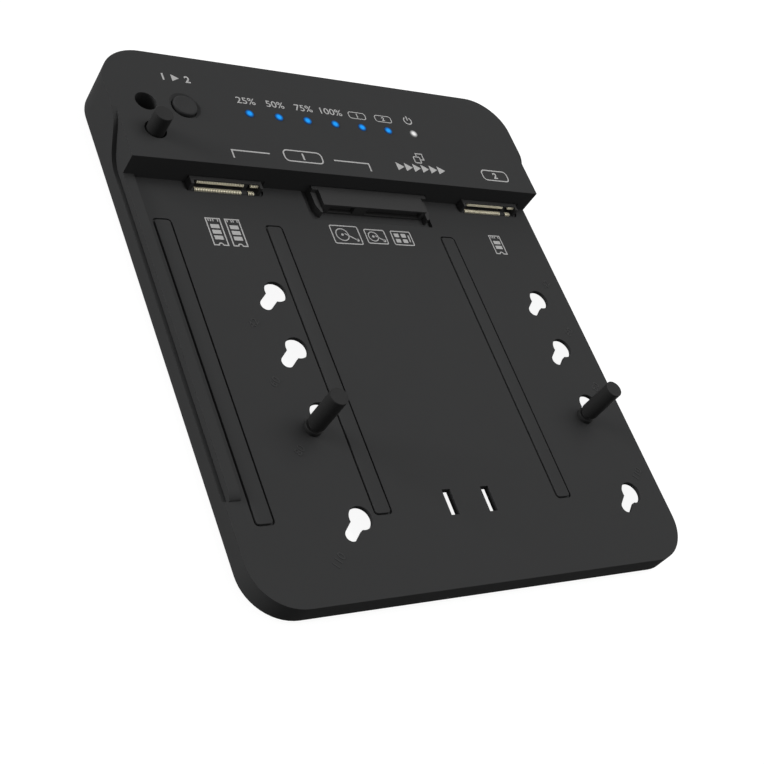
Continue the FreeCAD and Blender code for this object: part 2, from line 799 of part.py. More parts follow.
# ---------------------------------------------------------------- board and what it carries
def main_board():
    """Board with notches for the case bosses, wells and rocker, and holes for its screws."""
    x0 = inset_left + shell_t + board_gap
    x1 = plate_right - shell_t - board_gap
    y0 = head_front - board_front
    y1 = back - shell_t - board_gap
    r = corner_r - shell_t - board_gap
    large = corner_back_left_r - shell_t - board_gap
    shape = slab(x0, x1, y0, y1, z_under_board, z_board, [0, 0, r, large])
    z0, z1 = z_under_board - past, z_board + past
    cuts = []
    for x, y in case_boss_places()[2:]:
        cuts.append(post(x, y, z0, z1, case_boss_w + 2 * board_clear))
    for x, y in board_boss_places():
        cuts.append(pin(x, y, z0, z1, board_screw_r + board_hole_gap))
    g = well_r + well_wall + board_clear
    cuts.append(box(well_x - g, well_x + g, well_y[1] - g, well_y[0] + g, z0, z1))
    w = bezel_w / 2 + 1 + board_clear
    y_notch = back - rocker_body_l - bezel_sink - board_clear
    cuts.append(box(rocker_x - w, rocker_x + w, y_notch, y1 + past, z0, z1))
    return shape.cut(cuts).removeSplitter()


def on_board(x, y, w, d, h):
    """Block standing on the board."""
    return box(x - w / 2, x + w / 2, y - d / 2, y + d / 2, z_board, z_board + h)


def bridge_chips():
    """One bridge chip behind each card socket."""
    return Part.makeCompound([on_board(x, head_front + chip_in, chip_w, chip_w, bridge_h) for x in column_x])


def controller_chip():
    """Copy controller in the middle of the board."""
    return on_board(sata_x, head_front + controller_in, chip_w, chip_w, controller_h)


def memory_chip():
    """Memory chip beside the controller."""
    return on_board(sata_x + memory_off, head_front + controller_in, memory_w, memory_l, memory_h)


def coils():
    """Three power coils."""
    return Part.makeCompound([on_board(column_x[1] + off, head_front + chip_in, coil_w, coil_w, coil_h)
                              for off in coil_off])


def capacitors():
    """Two upright capacitors by the power socket and a row of small ones."""
    shapes = [rod(jack_x + off, head_front + can_in, z_board, z_board + can_h, can_r) for off in can_off]
    for i in range(small_count):
        x = column_x[0] + small_off + i * small_pitch
        shapes.append(on_board(x, head_front + small_in, small_w, small_l, small_h))
    return Part.makeCompound(shapes)


# ---------------------------------------------------------------- card sockets
def card_socket(x):
    """Card socket: housing with a set-back upper lip, cheeks, slot and key."""
    y0 = head_front - m2_lip
    y1 = y0 + m2_depth
    z0, z1 = z_board, z_board + m2_h
    z_lip = z_plate - m2_lower
    half = m2_w / 2
    inner = half - m2_cheek
    body = box(x - half, x + half, y0, y1, z0, z1)
    body = body.cut(box(x - inner, x + inner, y0 - past, y0 + m2_set_back, z_lip, z1 + past))
    body = body.cut(box(x - inner, x + inner, y0, seat_y + m2_pin_root, z_lip, z_plate + m2_upper))
    x0 = x + m2_key_x - m2_key_w / 2
    g = m2_key_root
    body = body.fuse(box(x0, x0 + m2_key_w, y0 + m2_set_back, seat_y + m2_pin_root + g, z_lip - g,
                         z_plate + m2_upper + g))
    edge = [e for e in body.Edges if abs(e.BoundBox.YMin - y0) < 0.01 and abs(e.BoundBox.YMax - y0) < 0.01
            and abs(e.BoundBox.ZMin - z_lip) < 0.01 and e.BoundBox.XLength > m2_w / 2]
    return body.makeChamfer(m2_chamfer, edge).removeSplitter()


def pin_places(x, right_pins, shift):
    """Pin centres of one row: the left group, the key gap and the right group."""
    first = x + m2_first_x + shift
    order = list(range(m2_left_pins))
    order += [m2_left_pins + m2_key_gap + i for i in range(right_pins)]
    return [first + i * m2_pitch for i in order]


def card_contacts(x):
    """Two rows of spring contacts, bent strips that show in the socket's mouth."""
    y0 = head_front - m2_lip
    half = m2_pin_w / 2
    zl = z_plate - m2_lower
    zu = z_plate + m2_upper
    t = m2_pin_t
    y1 = seat_y + m2_pin_root
    lower = [(y0 + m2_pin_in, zl), (y1, zl), (y1, zl + t), (y0 + m2_pin_in, zl + t)]
    yu = y0 + m2_set_back + m2_pin_in
    upper = [(yu, zu), (yu, zu - m2_pin_drop), (yu + t, zu - m2_pin_drop), (y1, zu - t), (y1, zu)]
    shapes = [side_profile(lower, [0] * len(lower), px - half, px + half)
              for px in pin_places(x, m2_right_pins - 1, -m2_pitch / 2)]
    shapes += [side_profile(upper, [0] * len(upper), px - half, px + half)
               for px in pin_places(x, m2_right_pins, 0)]
    return Part.makeCompound(shapes)


# ---------------------------------------------------------------- drive socket
def drive_socket():
    """Drive socket: wide back part, narrower face with two slots and their tongues, guide arms."""
    x = sata_x
    y_face = head_front - sata_reach
    y_end = head_front + sata_tail
    z1 = z_plate + sata_top
    z_low = z_plate - sata_step
    shape = joined([box(x - sata_face_w / 2, x + sata_face_w / 2, y_face, y_end, z_board, z1),
                    box(x - sata_w / 2, x + sata_w / 2, head_front - sata_collar, y_end, z_board, z1)])
    cuts = []
    tongues = []
    t = sata_tongue_in
    for x0, x1 in (sata_signal, sata_power):
        cuts.append(box(x + x0, x + x1, y_face - past, y_face + sata_slot_l,
                        z_low + sata_floor_t, z1 - sata_roof_t))
        tongues.append(box(x + x0 + t, x + x1 - t, y_face + sata_tongue_back, y_face + sata_slot_l + past,
                           z_low + sata_tongue_z, z_low + sata_tongue_z + sata_tongue_t))
    return shape.cut(cuts).fuse(tongues + guide_arms(z_low)).removeSplitter()


def guide_arms(z_low):
    """Arms at the drive socket's ends, tapered on their outer sides."""
    arms = []
    y_tip = head_front - sata_arm_reach
    for side in (-1, 1):
        outer = side * sata_w / 2
        inner = side * (sata_w / 2 - sata_arm_w)
        points = [(inner, y_tip), (outer - side * sata_arm_taper_w, y_tip), (outer, y_tip + sata_arm_taper_l),
                  (outer, head_front), (inner, head_front)]
        corners = [V(sata_x + px, py, z_low) for px, py in points]
        face = Part.Face(Part.makePolygon(corners + corners[:1]))
        arms.append(face.extrude(V(0, 0, sata_step + sata_arm_top)))
    return arms


def drive_contacts():
    """Contacts on the two tongues: seven for data and fifteen for power."""
    shapes = []
    y0 = head_front - sata_reach + sata_contact_in
    y1 = head_front - sata_reach + sata_slot_l
    z = z_plate - sata_step + sata_tongue_z + sata_tongue_t
    edge = sata_tongue_in + sata_contact_w
    for (x0, x1), count in zip((sata_signal, sata_power), sata_contacts):
        pitch = (x1 - x0 - 2 * edge) / (count - 1)
        for i in range(count):
            x = sata_x + x0 + edge + i * pitch
            shapes.append(box(x - sata_contact_w / 2, x + sata_contact_w / 2, y0, y1, z, z + sata_contact_t))
    return Part.makeCompound(shapes)


# ---------------------------------------------------------------- rear side
def data_shell():
    """Metal shell of the data socket, open to the back."""
    z = z_board + usb_shell_h / 2
    y1 = back - usb_sink
    y0 = y1 - usb_shell_l
    t = usb_shell_t
    outer = across(usb_x, z, usb_shell_w, usb_shell_h, usb_shell_h / 2 - 0.01, y0, y1)
    h = usb_shell_h - 2 * t
    return outer.cut(across(usb_x, z, usb_shell_w - 2 * t, h, h / 2 - 0.01, y0 + usb_back_t, y1 + past))


def data_tongue():
    """Tongue inside the data socket."""
    z = z_board + usb_shell_h / 2
    y1 = back - usb_sink
    y0 = y1 - usb_shell_l + usb_back_t
    x0 = usb_x - usb_tongue_w / 2
    x1 = usb_x + usb_tongue_w / 2
    return joined([box(x0, x1, y0, y1 - usb_tongue_in, z - usb_tongue_t / 2, z + usb_tongue_t / 2),
                   box(x0, x1, y0, y0 + usb_root_l, z - usb_root_t / 2, z + usb_root_t / 2)])


def power_socket():
    """Power socket: block on the board with a barrel through the back."""
    y1 = back - jack_sink
    y_block = back - shell_t - jack_gap
    block = box(jack_x - jack_w / 2, jack_x + jack_w / 2, y_block - jack_l, y_block,
                z_board, z_board + jack_h)
    barrel = Part.makeCylinder(jack_barrel_r, y1 - y_block + past, V(jack_x, y_block - past, z_jack),
                               V(0, 1, 0))
    bore = Part.makeCylinder(jack_bore_r, jack_bore_l + past, V(jack_x, y1 - jack_bore_l, z_jack),
                             V(0, 1, 0))
    return joined([block, barrel]).cut(bore)


def power_pin():
    """Centre pin of the power socket."""
    y0 = back - jack_sink - jack_bore_l
    return Part.makeCylinder(jack_pin_r, jack_bore_l - jack_pin_in, V(jack_x, y0, z_jack), V(0, 1, 0))


def rocker_housing():
    """Rocker switch housing: bezel in the back's bed and body inside, open for the rocker."""
    y_bezel = back - bezel_sink
    bezel = across(rocker_x, z_rocker, bezel_w, bezel_h, bezel_r, y_bezel, back)
    body = across(rocker_x, z_rocker, rocker_w, rocker_h, 0, back - bezel_sink - rocker_body_l, y_bezel)
    well = box(rocker_x - rocker_cap_w / 2 - rocker_side, rocker_x + rocker_cap_w / 2 + rocker_side,
               back - rocker_well, back + past, z_rocker - rocker_cap_h / 2 - rocker_side,
               z_rocker + rocker_cap_h / 2 + rocker_side)
    pivot = Part.makeCylinder(rocker_pin_r + screw_gap, rocker_cap_h + 2, V(rocker_x, back - rocker_pivot_in,
                              z_rocker - rocker_cap_h / 2 - 1), V(0, 0, 1))
    return joined([bezel, body]).cut([well, pivot])


def rocker():
    """Rocker with two sloping faces and pivot stubs, resting tilted to one side."""
    yp = back - rocker_pivot_in
    half = rocker_cap_w / 2
    z0 = z_rocker - rocker_cap_h / 2
    y0 = yp - rocker_behind
    y1 = yp + rocker_out
    points = [V(-half, y0, z0), V(half, y0, z0), V(half, y1, z0), V(0, y1 - rocker_dip, z0), V(-half, y1, z0)]
    points = [p + V(rocker_x, 0, 0) for p in points]
    cap = rounded_face(points, rocker_radii).extrude(V(0, 0, rocker_cap_h))
    stub_l = rocker_cap_h + 2 * rocker_stub_l
    stub = Part.makeCylinder(rocker_pin_r, stub_l, V(rocker_x, yp, z0 - rocker_stub_l), V(0, 0, 1))
    shape = joined([cap, stub])
    shape.rotate(V(rocker_x, yp, 0), V(0, 0, 1), rocker_tilt)
    return shape


def rocker_pins():
    """Three terminals, bent down to the board."""
    shapes = []
    y0 = back - bezel_sink - rocker_body_l
    for i in (-1, 0, 1):
        x0 = rocker_x + i * terminal_pitch - terminal_w / 2
        x1 = x0 + terminal_w
        z0 = z_rocker - terminal_low
        z1 = z0 + terminal_t
        run = box(x0, x1, y0 - terminal_l, y0, z0, z1)
        drop = box(x0, x1, y0 - terminal_l, y0 - terminal_l + terminal_t, z_board, z1)
        shapes.append(joined([run, drop]))
    return Part.makeCompound(shapes)


# ---------------------------------------------------------------- write everything
def main():
    """Build and write every sub-part."""
    os.makedirs("parts", exist_ok=True)
    save("upper_housing", upper_housing())
    save("lower_cover", lower_cover())
    for name, (x, y) in zip(("front_left", "front_right", "back_left", "back_right"), foot_places()):
        save("foot_" + name, rubber_foot(x, y))
    save("case_screws", case_screws())
    save("board_screws", board_screws())
    for name, place in zip(("left", "mid", "right"), pad_places()):
        save("pad_" + name, pad_strip(place))
    save("post_left", card_post(column_x[0], post_rest_y, z_plate))
    save("post_right", card_post(column_x[1], post_rest_y, z_plate))
    z_spare = z_well + post_head_h + post_slack + key_land_t
    save("post_spare", card_post(well_x, well_y[1], z_spare))
    save("start_button", start_button())
    save("start_switch", start_switch())
    save("switch_plunger", switch_plunger())
    names = ("quarter", "half", "three_quarter", "full", "source", "target", "power")
    for name, x in zip(names, lamp_places()):
        save("lamp_" + name, lamp_guide(x))
    save("lamp_chips", lamp_chips())
    save("main_board", main_board())
    save("bridge_chips", bridge_chips())
    save("controller_chip", controller_chip())
    save("memory_chip", memory_chip())
    save("coils", coils())
    save("capacitors", capacitors())
    for name, x in zip(("left", "right"), column_x):
        save("card_socket_" + name, card_socket(x))
        save("card_contacts_" + name, card_contacts(x))
    save("drive_socket", drive_socket())
    save("drive_contacts", drive_contacts())
    save("data_shell", data_shell())
    save("data_tongue", data_tongue())
    save("power_socket", power_socket())
    save("power_pin", power_pin())
    save("rocker_housing", rocker_housing())
    save("rocker", rocker())
    save("rocker_pins", rocker_pins())


main()
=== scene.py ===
"""Drive duplicator, dressed: finishes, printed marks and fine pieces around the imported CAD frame.

Metres, in the frame of the CAD model: +X right, +Y back, +Z up, the feet on Z = 0.
"""
from math import cos, degrees, pi, radians, sin, tan

import bmesh
import bpy
from mathutils import Matrix, Vector


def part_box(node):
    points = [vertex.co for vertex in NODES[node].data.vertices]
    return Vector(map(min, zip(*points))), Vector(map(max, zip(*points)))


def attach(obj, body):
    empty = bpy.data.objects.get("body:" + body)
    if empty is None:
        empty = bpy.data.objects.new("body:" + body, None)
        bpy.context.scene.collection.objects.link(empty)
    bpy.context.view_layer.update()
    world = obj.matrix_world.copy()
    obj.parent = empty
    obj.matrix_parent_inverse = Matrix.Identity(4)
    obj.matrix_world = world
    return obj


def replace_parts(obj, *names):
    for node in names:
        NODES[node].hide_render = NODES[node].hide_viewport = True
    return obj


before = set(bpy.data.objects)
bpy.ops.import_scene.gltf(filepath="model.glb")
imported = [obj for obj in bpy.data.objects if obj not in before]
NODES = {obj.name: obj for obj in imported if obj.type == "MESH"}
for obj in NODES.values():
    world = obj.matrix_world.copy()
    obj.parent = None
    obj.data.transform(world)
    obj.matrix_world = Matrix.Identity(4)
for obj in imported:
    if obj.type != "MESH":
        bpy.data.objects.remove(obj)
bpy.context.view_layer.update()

MM = 0.001


def mid(node):
    """Middle of a CAD node's box."""
    low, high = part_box(node)
    return (low + high) / 2


# ---------------------------------------------------------------- places, from the frame
HEAD_DEPTH = 39.05 * MM
PAD_RISE = 0.4 * MM
LAMP_RISE = 0.15 * MM
CARD_SEAT = 1.5 * MM
CARD_LENGTHS = (42, 60, 80, 110)

head_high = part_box("upper_housing")[1]
back_y = head_high.y
head_front = back_y - HEAD_DEPTH
head_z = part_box("lamp_quarter")[1].z - LAMP_RISE
plate_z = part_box("pad_left")[1].z - PAD_RISE
lamp_y = mid("lamp_quarter").y
columns = (mid("post_left").x, mid("post_right").x)
seat_y = head_front + CARD_SEAT


# ---------------------------------------------------------------- node materials
class Nodes:
    """Short way to write a node tree."""

    def __init__(self, tree):
        self.tree = tree
        tree.nodes.clear()

    def add(self, kind, **inputs):
        node = self.tree.nodes.new(kind)
        for key, value in inputs.items():
            if key.startswith("_"):
                setattr(node, key[1:], value)
            else:
                self.put(node, key, value)
        return node

    def put(self, node, key, value):
        numbered = key[0] == "i" and key[1:].isdigit()
        socket = node.inputs[int(key[1:]) if numbered else key.replace("_", " ")]
        if isinstance(value, bpy.types.NodeSocket):
            self.tree.links.new(value, socket)
        else:
            socket.default_value = value

    def coords(self):
        return self.add("ShaderNodeTexCoord").outputs["Object"]

    def noise(self, scale, detail=2.0, rough=0.5, vector=None):
        return self.add("ShaderNodeTexNoise", Vector=vector or self.coords(), Scale=scale, Detail=detail,
                        Roughness=rough).outputs["Fac"]

    def ramp(self, value, low, high, to_low, to_high):
        node = self.add("ShaderNodeMapRange", Value=value)
        for key, number in zip(("From Min", "From Max", "To Min", "To Max"), (low, high, to_low, to_high)):
            node.inputs[key].default_value = number
        return node.outputs["Result"]

    def mix(self, factor, a, b):
        node = self.add("ShaderNodeMix", _data_type="RGBA", i0=factor)
        for index, value in ((6, a), (7, b)):
            if isinstance(value, bpy.types.NodeSocket):
                self.tree.links.new(value, node.inputs[index])
            else:
                node.inputs[index].default_value = rgba(value)
        return node.outputs[2]


def rgba(colour):
    """Colour with an alpha of 1."""
    return (colour[0], colour[1], colour[2], 1.0)


def grey(value, warm=0.0):
    """Near-neutral colour."""
    return (value * (1 + warm), value, value * (1 - warm))


def material(name, colour, rough=0.5, vary=0.06, cloud=90.0, grain=2600.0, depth=0.010, soft=0.15, metal=0.0,
             specular=0.35, spread=0.08, edge=0.0, coat=0.0, streak=None):
    """Moulded or metal surface: cloudy colour, uneven roughness, fine grain and softened edges.

    cloud and grain are scales per metre, depth is the grain's height and soft the edges' radius, in millimetres; edge
    is the strength of a painted highlight that lightens the colour along the edges.
    """
    mat = bpy.data.materials.new(name)
    mat.use_nodes = True
    mat.diffuse_color = rgba(colour)
    n = Nodes(mat.node_tree)
    where = n.coords()
    if streak:
        where = n.add("ShaderNodeMapping", Vector=where, Scale=streak).outputs["Vector"]
    slow = n.noise(cloud, 3.0, 0.6, where)
    fine = n.noise(grain, 3.0, 0.65, where)
    light = tuple(c * (1 + vary) for c in colour)
    dark = tuple(c * (1 - vary) for c in colour)
    tint = n.mix(n.ramp(slow, 0.3, 0.7, 0.0, 1.0), dark, light)
    tint = n.mix(n.ramp(fine, 0.35, 0.65, 0.0, 0.5), tint, dark)
    bevel = n.add("ShaderNodeBevel", _samples=4, Radius=soft * MM).outputs["Normal"]
    # Painted highlight: where edge is set, the colour turns lighter along the edges, where the bevel normal leaves the
    # face's own normal.
    if edge > 0:
        flat = n.add("ShaderNodeNewGeometry").outputs["Normal"]
        turn = n.add("ShaderNodeVectorMath", _operation="DOT_PRODUCT", i0=bevel, i1=flat).outputs["Value"]
        tint = n.mix(n.ramp(turn, 0.97, 0.80, 0.0, edge), tint, tuple(min(1.0, c * 2.2 + 0.01) for c in colour))
    bump = n.add("ShaderNodeBump", Strength=1.0, Distance=depth * MM, Height=fine, Normal=bevel).outputs["Normal"]
    n.add("ShaderNodeOutputMaterial", Surface=n.add(
        "ShaderNodeBsdfPrincipled", Base_Color=tint, Metallic=metal,
        Roughness=n.ramp(slow, 0.3, 0.7, max(0.05, rough - spread), min(1.0, rough + spread)),
        Specular_IOR_Level=specular, Coat_Weight=coat, Coat_Roughness=0.2, Normal=bump).outputs["BSDF"])
    return mat


def lit(name, rim, core, strength, centre, radius):
    """Clear lamp end, lit from inside: bright in its middle and deeper in colour towards the rim."""
    mat = bpy.data.materials.new(name)
    mat.use_nodes = True
    mat.diffuse_color = rgba(rim)
    n = Nodes(mat.node_tree)
    shift = n.add("ShaderNodeVectorMath", _operation="SUBTRACT", i0=n.coords(), i1=centre).outputs["Vector"]
    flat = n.add("ShaderNodeVectorMath", _operation="MULTIPLY", i0=shift, i1=(1, 1, 0)).outputs["Vector"]
    away = n.add("ShaderNodeVectorMath", _operation="LENGTH", i0=flat).outputs["Value"]
    fade = n.ramp(away, radius * 0.35, radius, 1.0, 0.0)
    cloudy = n.noise(1400.0, 2.0)
    colour = n.mix(fade, rim, core)
    power = n.add("ShaderNodeMath", _operation="MULTIPLY", i0=n.ramp(fade, 0.0, 1.0, strength * 0.5, strength),
                  i1=n.ramp(cloudy, 0.3, 0.7, 0.92, 1.06)).outputs["Value"]
    bump = n.add("ShaderNodeBump", Strength=1.0, Distance=0.004 * MM, Height=cloudy).outputs["Normal"]
    n.add("ShaderNodeOutputMaterial", Surface=n.add(
        "ShaderNodeBsdfPrincipled", Base_Color=rgba(grey(0.006)), Roughness=0.3, Specular_IOR_Level=0.02, Normal=bump,
        Emission_Color=colour, Emission_Strength=power).outputs["BSDF"])
    return mat


# Housing and cover carry a painted highlight along their edges, through edge.
HOUSING = material("housing", grey(0.0362, -0.008), rough=0.72, specular=0.005, edge=0.10, soft=0.10, vary=0.015,
                   spread=0.03)
RAISED = material("housing_figures", grey(0.036, -0.01), rough=0.6, specular=0.05, soft=0.06, depth=0.004, vary=0.02)
COVER = material("cover", grey(0.029), rough=0.75, specular=0.03, edge=0.1, soft=0.1, grain=1500.0, depth=0.02, vary=0.03)
STRIP = material("strip_rubber", grey(0.0362, -0.008), rough=0.8, specular=0.01, grain=3200.0, soft=0.08, vary=0.02,
                 spread=0.03)
FOOT = material("foot_rubber", grey(0.014), rough=0.82, specular=0.15, grain=1900.0, depth=0.02, soft=0.1)
POST = material("post_rubber", grey(0.0165), rough=0.55, specular=0.07, grain=2200.0, depth=0.008, soft=0.08, vary=0.03,
                spread=0.04)
BUTTON = material("button", grey(0.0315, -0.008), rough=0.65, specular=0.02, grain=3000.0, soft=0.08, vary=0.02)
SOCKET = material("socket_plastic", grey(0.038), rough=0.55, specular=0.06, grain=1700.0, depth=0.006, soft=0.08,
                  vary=0.03)
DRIVE = material("drive_socket_plastic", grey(0.040), rough=0.6, specular=0.03, grain=1700.0, depth=0.006, soft=0.10,
                 vary=0.03)
ROCKER = material("rocker_plastic", grey(0.014), rough=0.35, specular=0.35, grain=2400.0, depth=0.004, soft=0.15)
BEZEL = material("rocker_bezel", grey(0.018), rough=0.45, specular=0.3, grain=2400.0, depth=0.006, soft=0.12)
GOLD = material("contact_gold", (0.88, 0.82, 0.62), rough=0.42, metal=0.25, vary=0.08, cloud=900.0, depth=0.002,
                soft=0.03, grain=5200.0)
TIN = material("terminal_tin", (0.30, 0.295, 0.285), rough=0.34, metal=1.0, vary=0.08, cloud=500.0, depth=0.002,
               soft=0.05)
SHELL = material("port_shell", (0.55, 0.55, 0.56), rough=0.28, metal=1.0, vary=0.06, cloud=240.0, depth=0.003,
                 soft=0.08, streak=(1.0, 0.06, 1.0))
SCREW = material("screw_steel", (0.16, 0.16, 0.17), rough=0.36, metal=1.0, vary=0.12, cloud=700.0, depth=0.004,
                 soft=0.05)
INK = material("printed_ink", grey(0.33, 0.01), rough=0.6, specular=0.3, vary=0.07, cloud=1500.0, grain=5200.0,
               depth=0.003, soft=0.01)
BOARD = material("board_mask", (0.007, 0.010, 0.009), rough=0.3, specular=0.5, cloud=160.0, vary=0.15, grain=900.0,
                 depth=0.006, coat=0.3, soft=0.05)
CHIP = material("chip_body", grey(0.011), rough=0.5, specular=0.35, grain=3200.0, soft=0.05)
COIL = material("coil_body", grey(0.09), rough=0.55, grain=1600.0, soft=0.2)
CAN = material("capacitor_can", (0.58, 0.58, 0.60), rough=0.26, metal=1.0, cloud=300.0, depth=0.003, soft=0.3)
SWITCH = material("switch_body", grey(0.04), rough=0.42, soft=0.1)
PLUNGER = material("switch_plunger", grey(0.26), rough=0.4, soft=0.1)
LAMP_CHIP = material("lamp_chip", (0.78, 0.70, 0.38), rough=0.3, specular=0.5, soft=0.05)

FINISH = {
    HOUSING: ["upper_housing"], COVER: ["lower_cover"],
    BOARD: ["main_board"], CHIP: ["bridge_chips", "controller_chip", "memory_chip"], COIL: ["coils"],
    CAN: ["capacitors"], SWITCH: ["start_switch"], PLUNGER: ["switch_plunger"], LAMP_CHIP: ["lamp_chips"],
    SOCKET: ["card_socket_left", "card_socket_right", "data_tongue", "power_socket"], DRIVE: ["drive_socket"],
    GOLD: ["card_contacts_left", "card_contacts_right", "drive_contacts"], SHELL: ["data_shell"],
    TIN: ["power_pin", "rocker_pins"], BEZEL: ["rocker_housing"], ROCKER: ["rocker"],
}
for finish, names in FINISH.items():
    for node in names:
        slots = NODES[node].data.materials
        slots.clear()
        slots.append(finish)
        for face in NODES[node].data.polygons:
            face.material_index = 0

LAMP_RADIUS = 1.35 * MM
BLUE_RIM, BLUE_CORE = (0.002, 0.06, 0.24), (0.004, 0.33, 1.0)
WHITE_RIM, WHITE_CORE = (0.20, 0.20, 0.20), (0.80, 0.80, 0.80)
LAMPS = ["quarter", "half", "three_quarter", "full", "source", "target", "power"]
for lamp in LAMPS:
    rim, core = (WHITE_RIM, WHITE_CORE) if lamp == "power" else (BLUE_RIM, BLUE_CORE)
    slots = NODES["lamp_" + lamp].data.materials
    slots.clear()
    slots.append(lit("lamp_light_" + lamp, rim, core, 1.1, mid("lamp_" + lamp), LAMP_RADIUS))


# ---------------------------------------------------------------- mesh pieces
def piece(name, bm, finish, body, sharp=35.0):
    """Object from a bmesh, riding on a CAD body."""
    bmesh.ops.remove_doubles(bm, verts=bm.verts, dist=1e-7)
    bmesh.ops.recalc_face_normals(bm, faces=bm.faces)
    mesh = bpy.data.meshes.new(name)
    bm.to_mesh(mesh)
    bm.free()
    mesh.materials.append(finish)
    for face in mesh.polygons:
        face.use_smooth = True
    mesh.set_sharp_from_angle(angle=radians(sharp))
    obj = bpy.data.objects.new(name, mesh)
    bpy.context.scene.collection.objects.link(obj)
    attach(obj, body)
    return obj


def softened(corners, steps=5):
    """Line through (r, z, fillet) corners, each with its fillet as an arc."""
    line = []
    last = len(corners) - 1
    for i, (r, z, fillet) in enumerate(corners):
        here = Vector((r, z))
        if i in (0, last) or fillet <= 0:
            line.append(here)
            continue
        a = Vector(corners[i - 1][:2]) - here
        b = Vector(corners[i + 1][:2]) - here
        half = a.angle(b) / 2
        cut = min(fillet / tan(half), a.length * 0.49, b.length * 0.49)
        start, end = here + a.normalized() * cut, here + b.normalized() * cut
        centre = here + (a.normalized() + b.normalized()).normalized() * (cut / cos(half))
        u, v = start - centre, end - centre
        for k in range(steps + 1):
            t = k / steps
            arm = (u * (1 - t) + v * t).normalized() * u.length
            line.append(centre + arm)
    return line


def lathe(bm, corners, x, y, turns=64, steps=5):
    """Add a form turned about an upright axis at x, y; corners are (r, z, fillet) in metres."""
    line = softened(corners, steps)
    rings = []
    for point in line:
        if point.x < 1e-7:
            rings.append([bm.verts.new((x, y, point.y))])
            continue
        rings.append([bm.verts.new((x + point.x * cos(2 * pi * k / turns), y + point.x * sin(2 * pi * k / turns),
                                    point.y)) for k in range(turns)])
    for low, high in zip(rings, rings[1:]):
        for k in range(turns):
            m = (k + 1) % turns
            if len(low) == 1 and len(high) == 1:
                continue
            if len(low) == 1:
                bm.faces.new((low[0], high[k], high[m]))
            elif len(high) == 1:
                bm.faces.new((low[k], low[m], high[0]))
            else:
                bm.faces.new((low[k], low[m], high[m], high[k]))


def mm(corners):
    """(r, z, fillet) corners from millimetres to metres."""
    return [(r * MM, z * MM, f * MM) for r, z, f in corners]


def rounded_box(x, y, w, h, r, steps=5):
    """Points of a rounded rectangle about x, y."""
    points = []
    for k, (sx, sy) in enumerate(((1, 1), (-1, 1), (-1, -1), (1, -1))):
        for i in range(steps + 1):
            a = radians(90 * k + 90 * i / steps)
            points.append((x + sx * (w / 2 - r) + r * cos(a), y + sy * (h / 2 - r) + r * sin(a)))
    return points


def islands(node):
    """Lowest and highest corners of the separate solids in a node, in order of x."""
    bm = bmesh.new()
    bm.from_mesh(NODES[node].data)
    bmesh.ops.remove_doubles(bm, verts=bm.verts, dist=1e-6)
    boxes = []
    left = set(bm.verts)
    while left:
        stack = [left.pop()]
        group = list(stack)
        while stack:
            for link in stack.pop().link_edges:
                for vert in link.verts:
                    if vert in left:
                        left.discard(vert)
                        stack.append(vert)
                        group.append(vert)
        boxes.append(tuple(Vector([end(v.co[i] for v in group) for i in range(3)]) for end in (min, max)))
    bm.free()
    return sorted(boxes, key=lambda ends: (round(ends[0].x, 6), ends[0].z))


def card_post(name, body, node):
    """Card post with rounded shoulders, groove and head."""
    low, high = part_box(node)
    z = low.z / MM
    top = high.z / MM
    foot = z + 1.1 + 0.1 + 1.2
    groove = foot + 1.35
    shaft = groove + 1.15
    corners = [(0, z, 0), (3.05, z, 0.3), (3.05, foot - 1.3, 0.15), (1.7, foot - 1.3, 0.1), (1.7, foot, 0.05),
               (2.55, foot, 0.1), (2.55, groove, 0.25), (1.6, groove, 0.12), (1.6, shaft, 0.12), (2.55, shaft, 0.25),
               (2.55, top, 0.15), (0, top, 0)]
    bm = bmesh.new()
    centre = (low + high) / 2
    lathe(bm, mm(corners), centre.x, centre.y)
    obj = piece(name, bm, POST, body)
    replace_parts(obj, node)


card_post("source_post_turned", "source_post", "post_left")
card_post("target_post_turned", "target_post", "post_right")
card_post("stored_post_turned", "stored_post", "post_spare")


def start_button():
    """Button cap with a rounded rim and a faintly dished face, flange and stem."""
    low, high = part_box("start_button")
    centre = (low + high) / 2
    flange = head_z / MM - 1.8
    top = high.z / MM
    corners = [(0, low.z / MM, 0), (1.6, low.z / MM, 0.1), (1.6, flange - 0.8, 0.2), (4.3, flange - 0.8, 0.1),
               (4.3, flange, 0.1), (3.5, flange, 0.1), (3.5, top, 0.5), (2.5, top - 0.02, 1.0), (1.2, top - 0.1, 2.0),
               (0, top - 0.12, 0)]
    bm = bmesh.new()
    lathe(bm, mm(corners), centre.x, centre.y, turns=96)
    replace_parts(piece("start_button_cap", bm, BUTTON, "button"), "start_button")


start_button()


def feet():
    """Rubber feet with a rounded sole."""
    for corner in ("front_left", "front_right", "back_left", "back_right"):
        node = "foot_" + corner
        low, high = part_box(node)
        centre = (low + high) / 2
        bm = bmesh.new()
        top = high.z / MM
        corners = [(0, 0.06, 0), (2.4, 0.06, 0.3), (2.9, 0, 0.3), (4.5, 0, 0.6), (4.5, top, 0.05), (0, top, 0)]
        lathe(bm, mm(corners), centre.x, centre.y)
        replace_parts(piece("sole_" + corner, bm, FOOT, "dock"), node)


feet()


FIT = 0.1                    # between a pocket's floor and the walls round it
middle = (columns[0] + columns[1]) / 2 / MM
DRIVE_OPEN = (middle - 21.55, middle + 21.55)


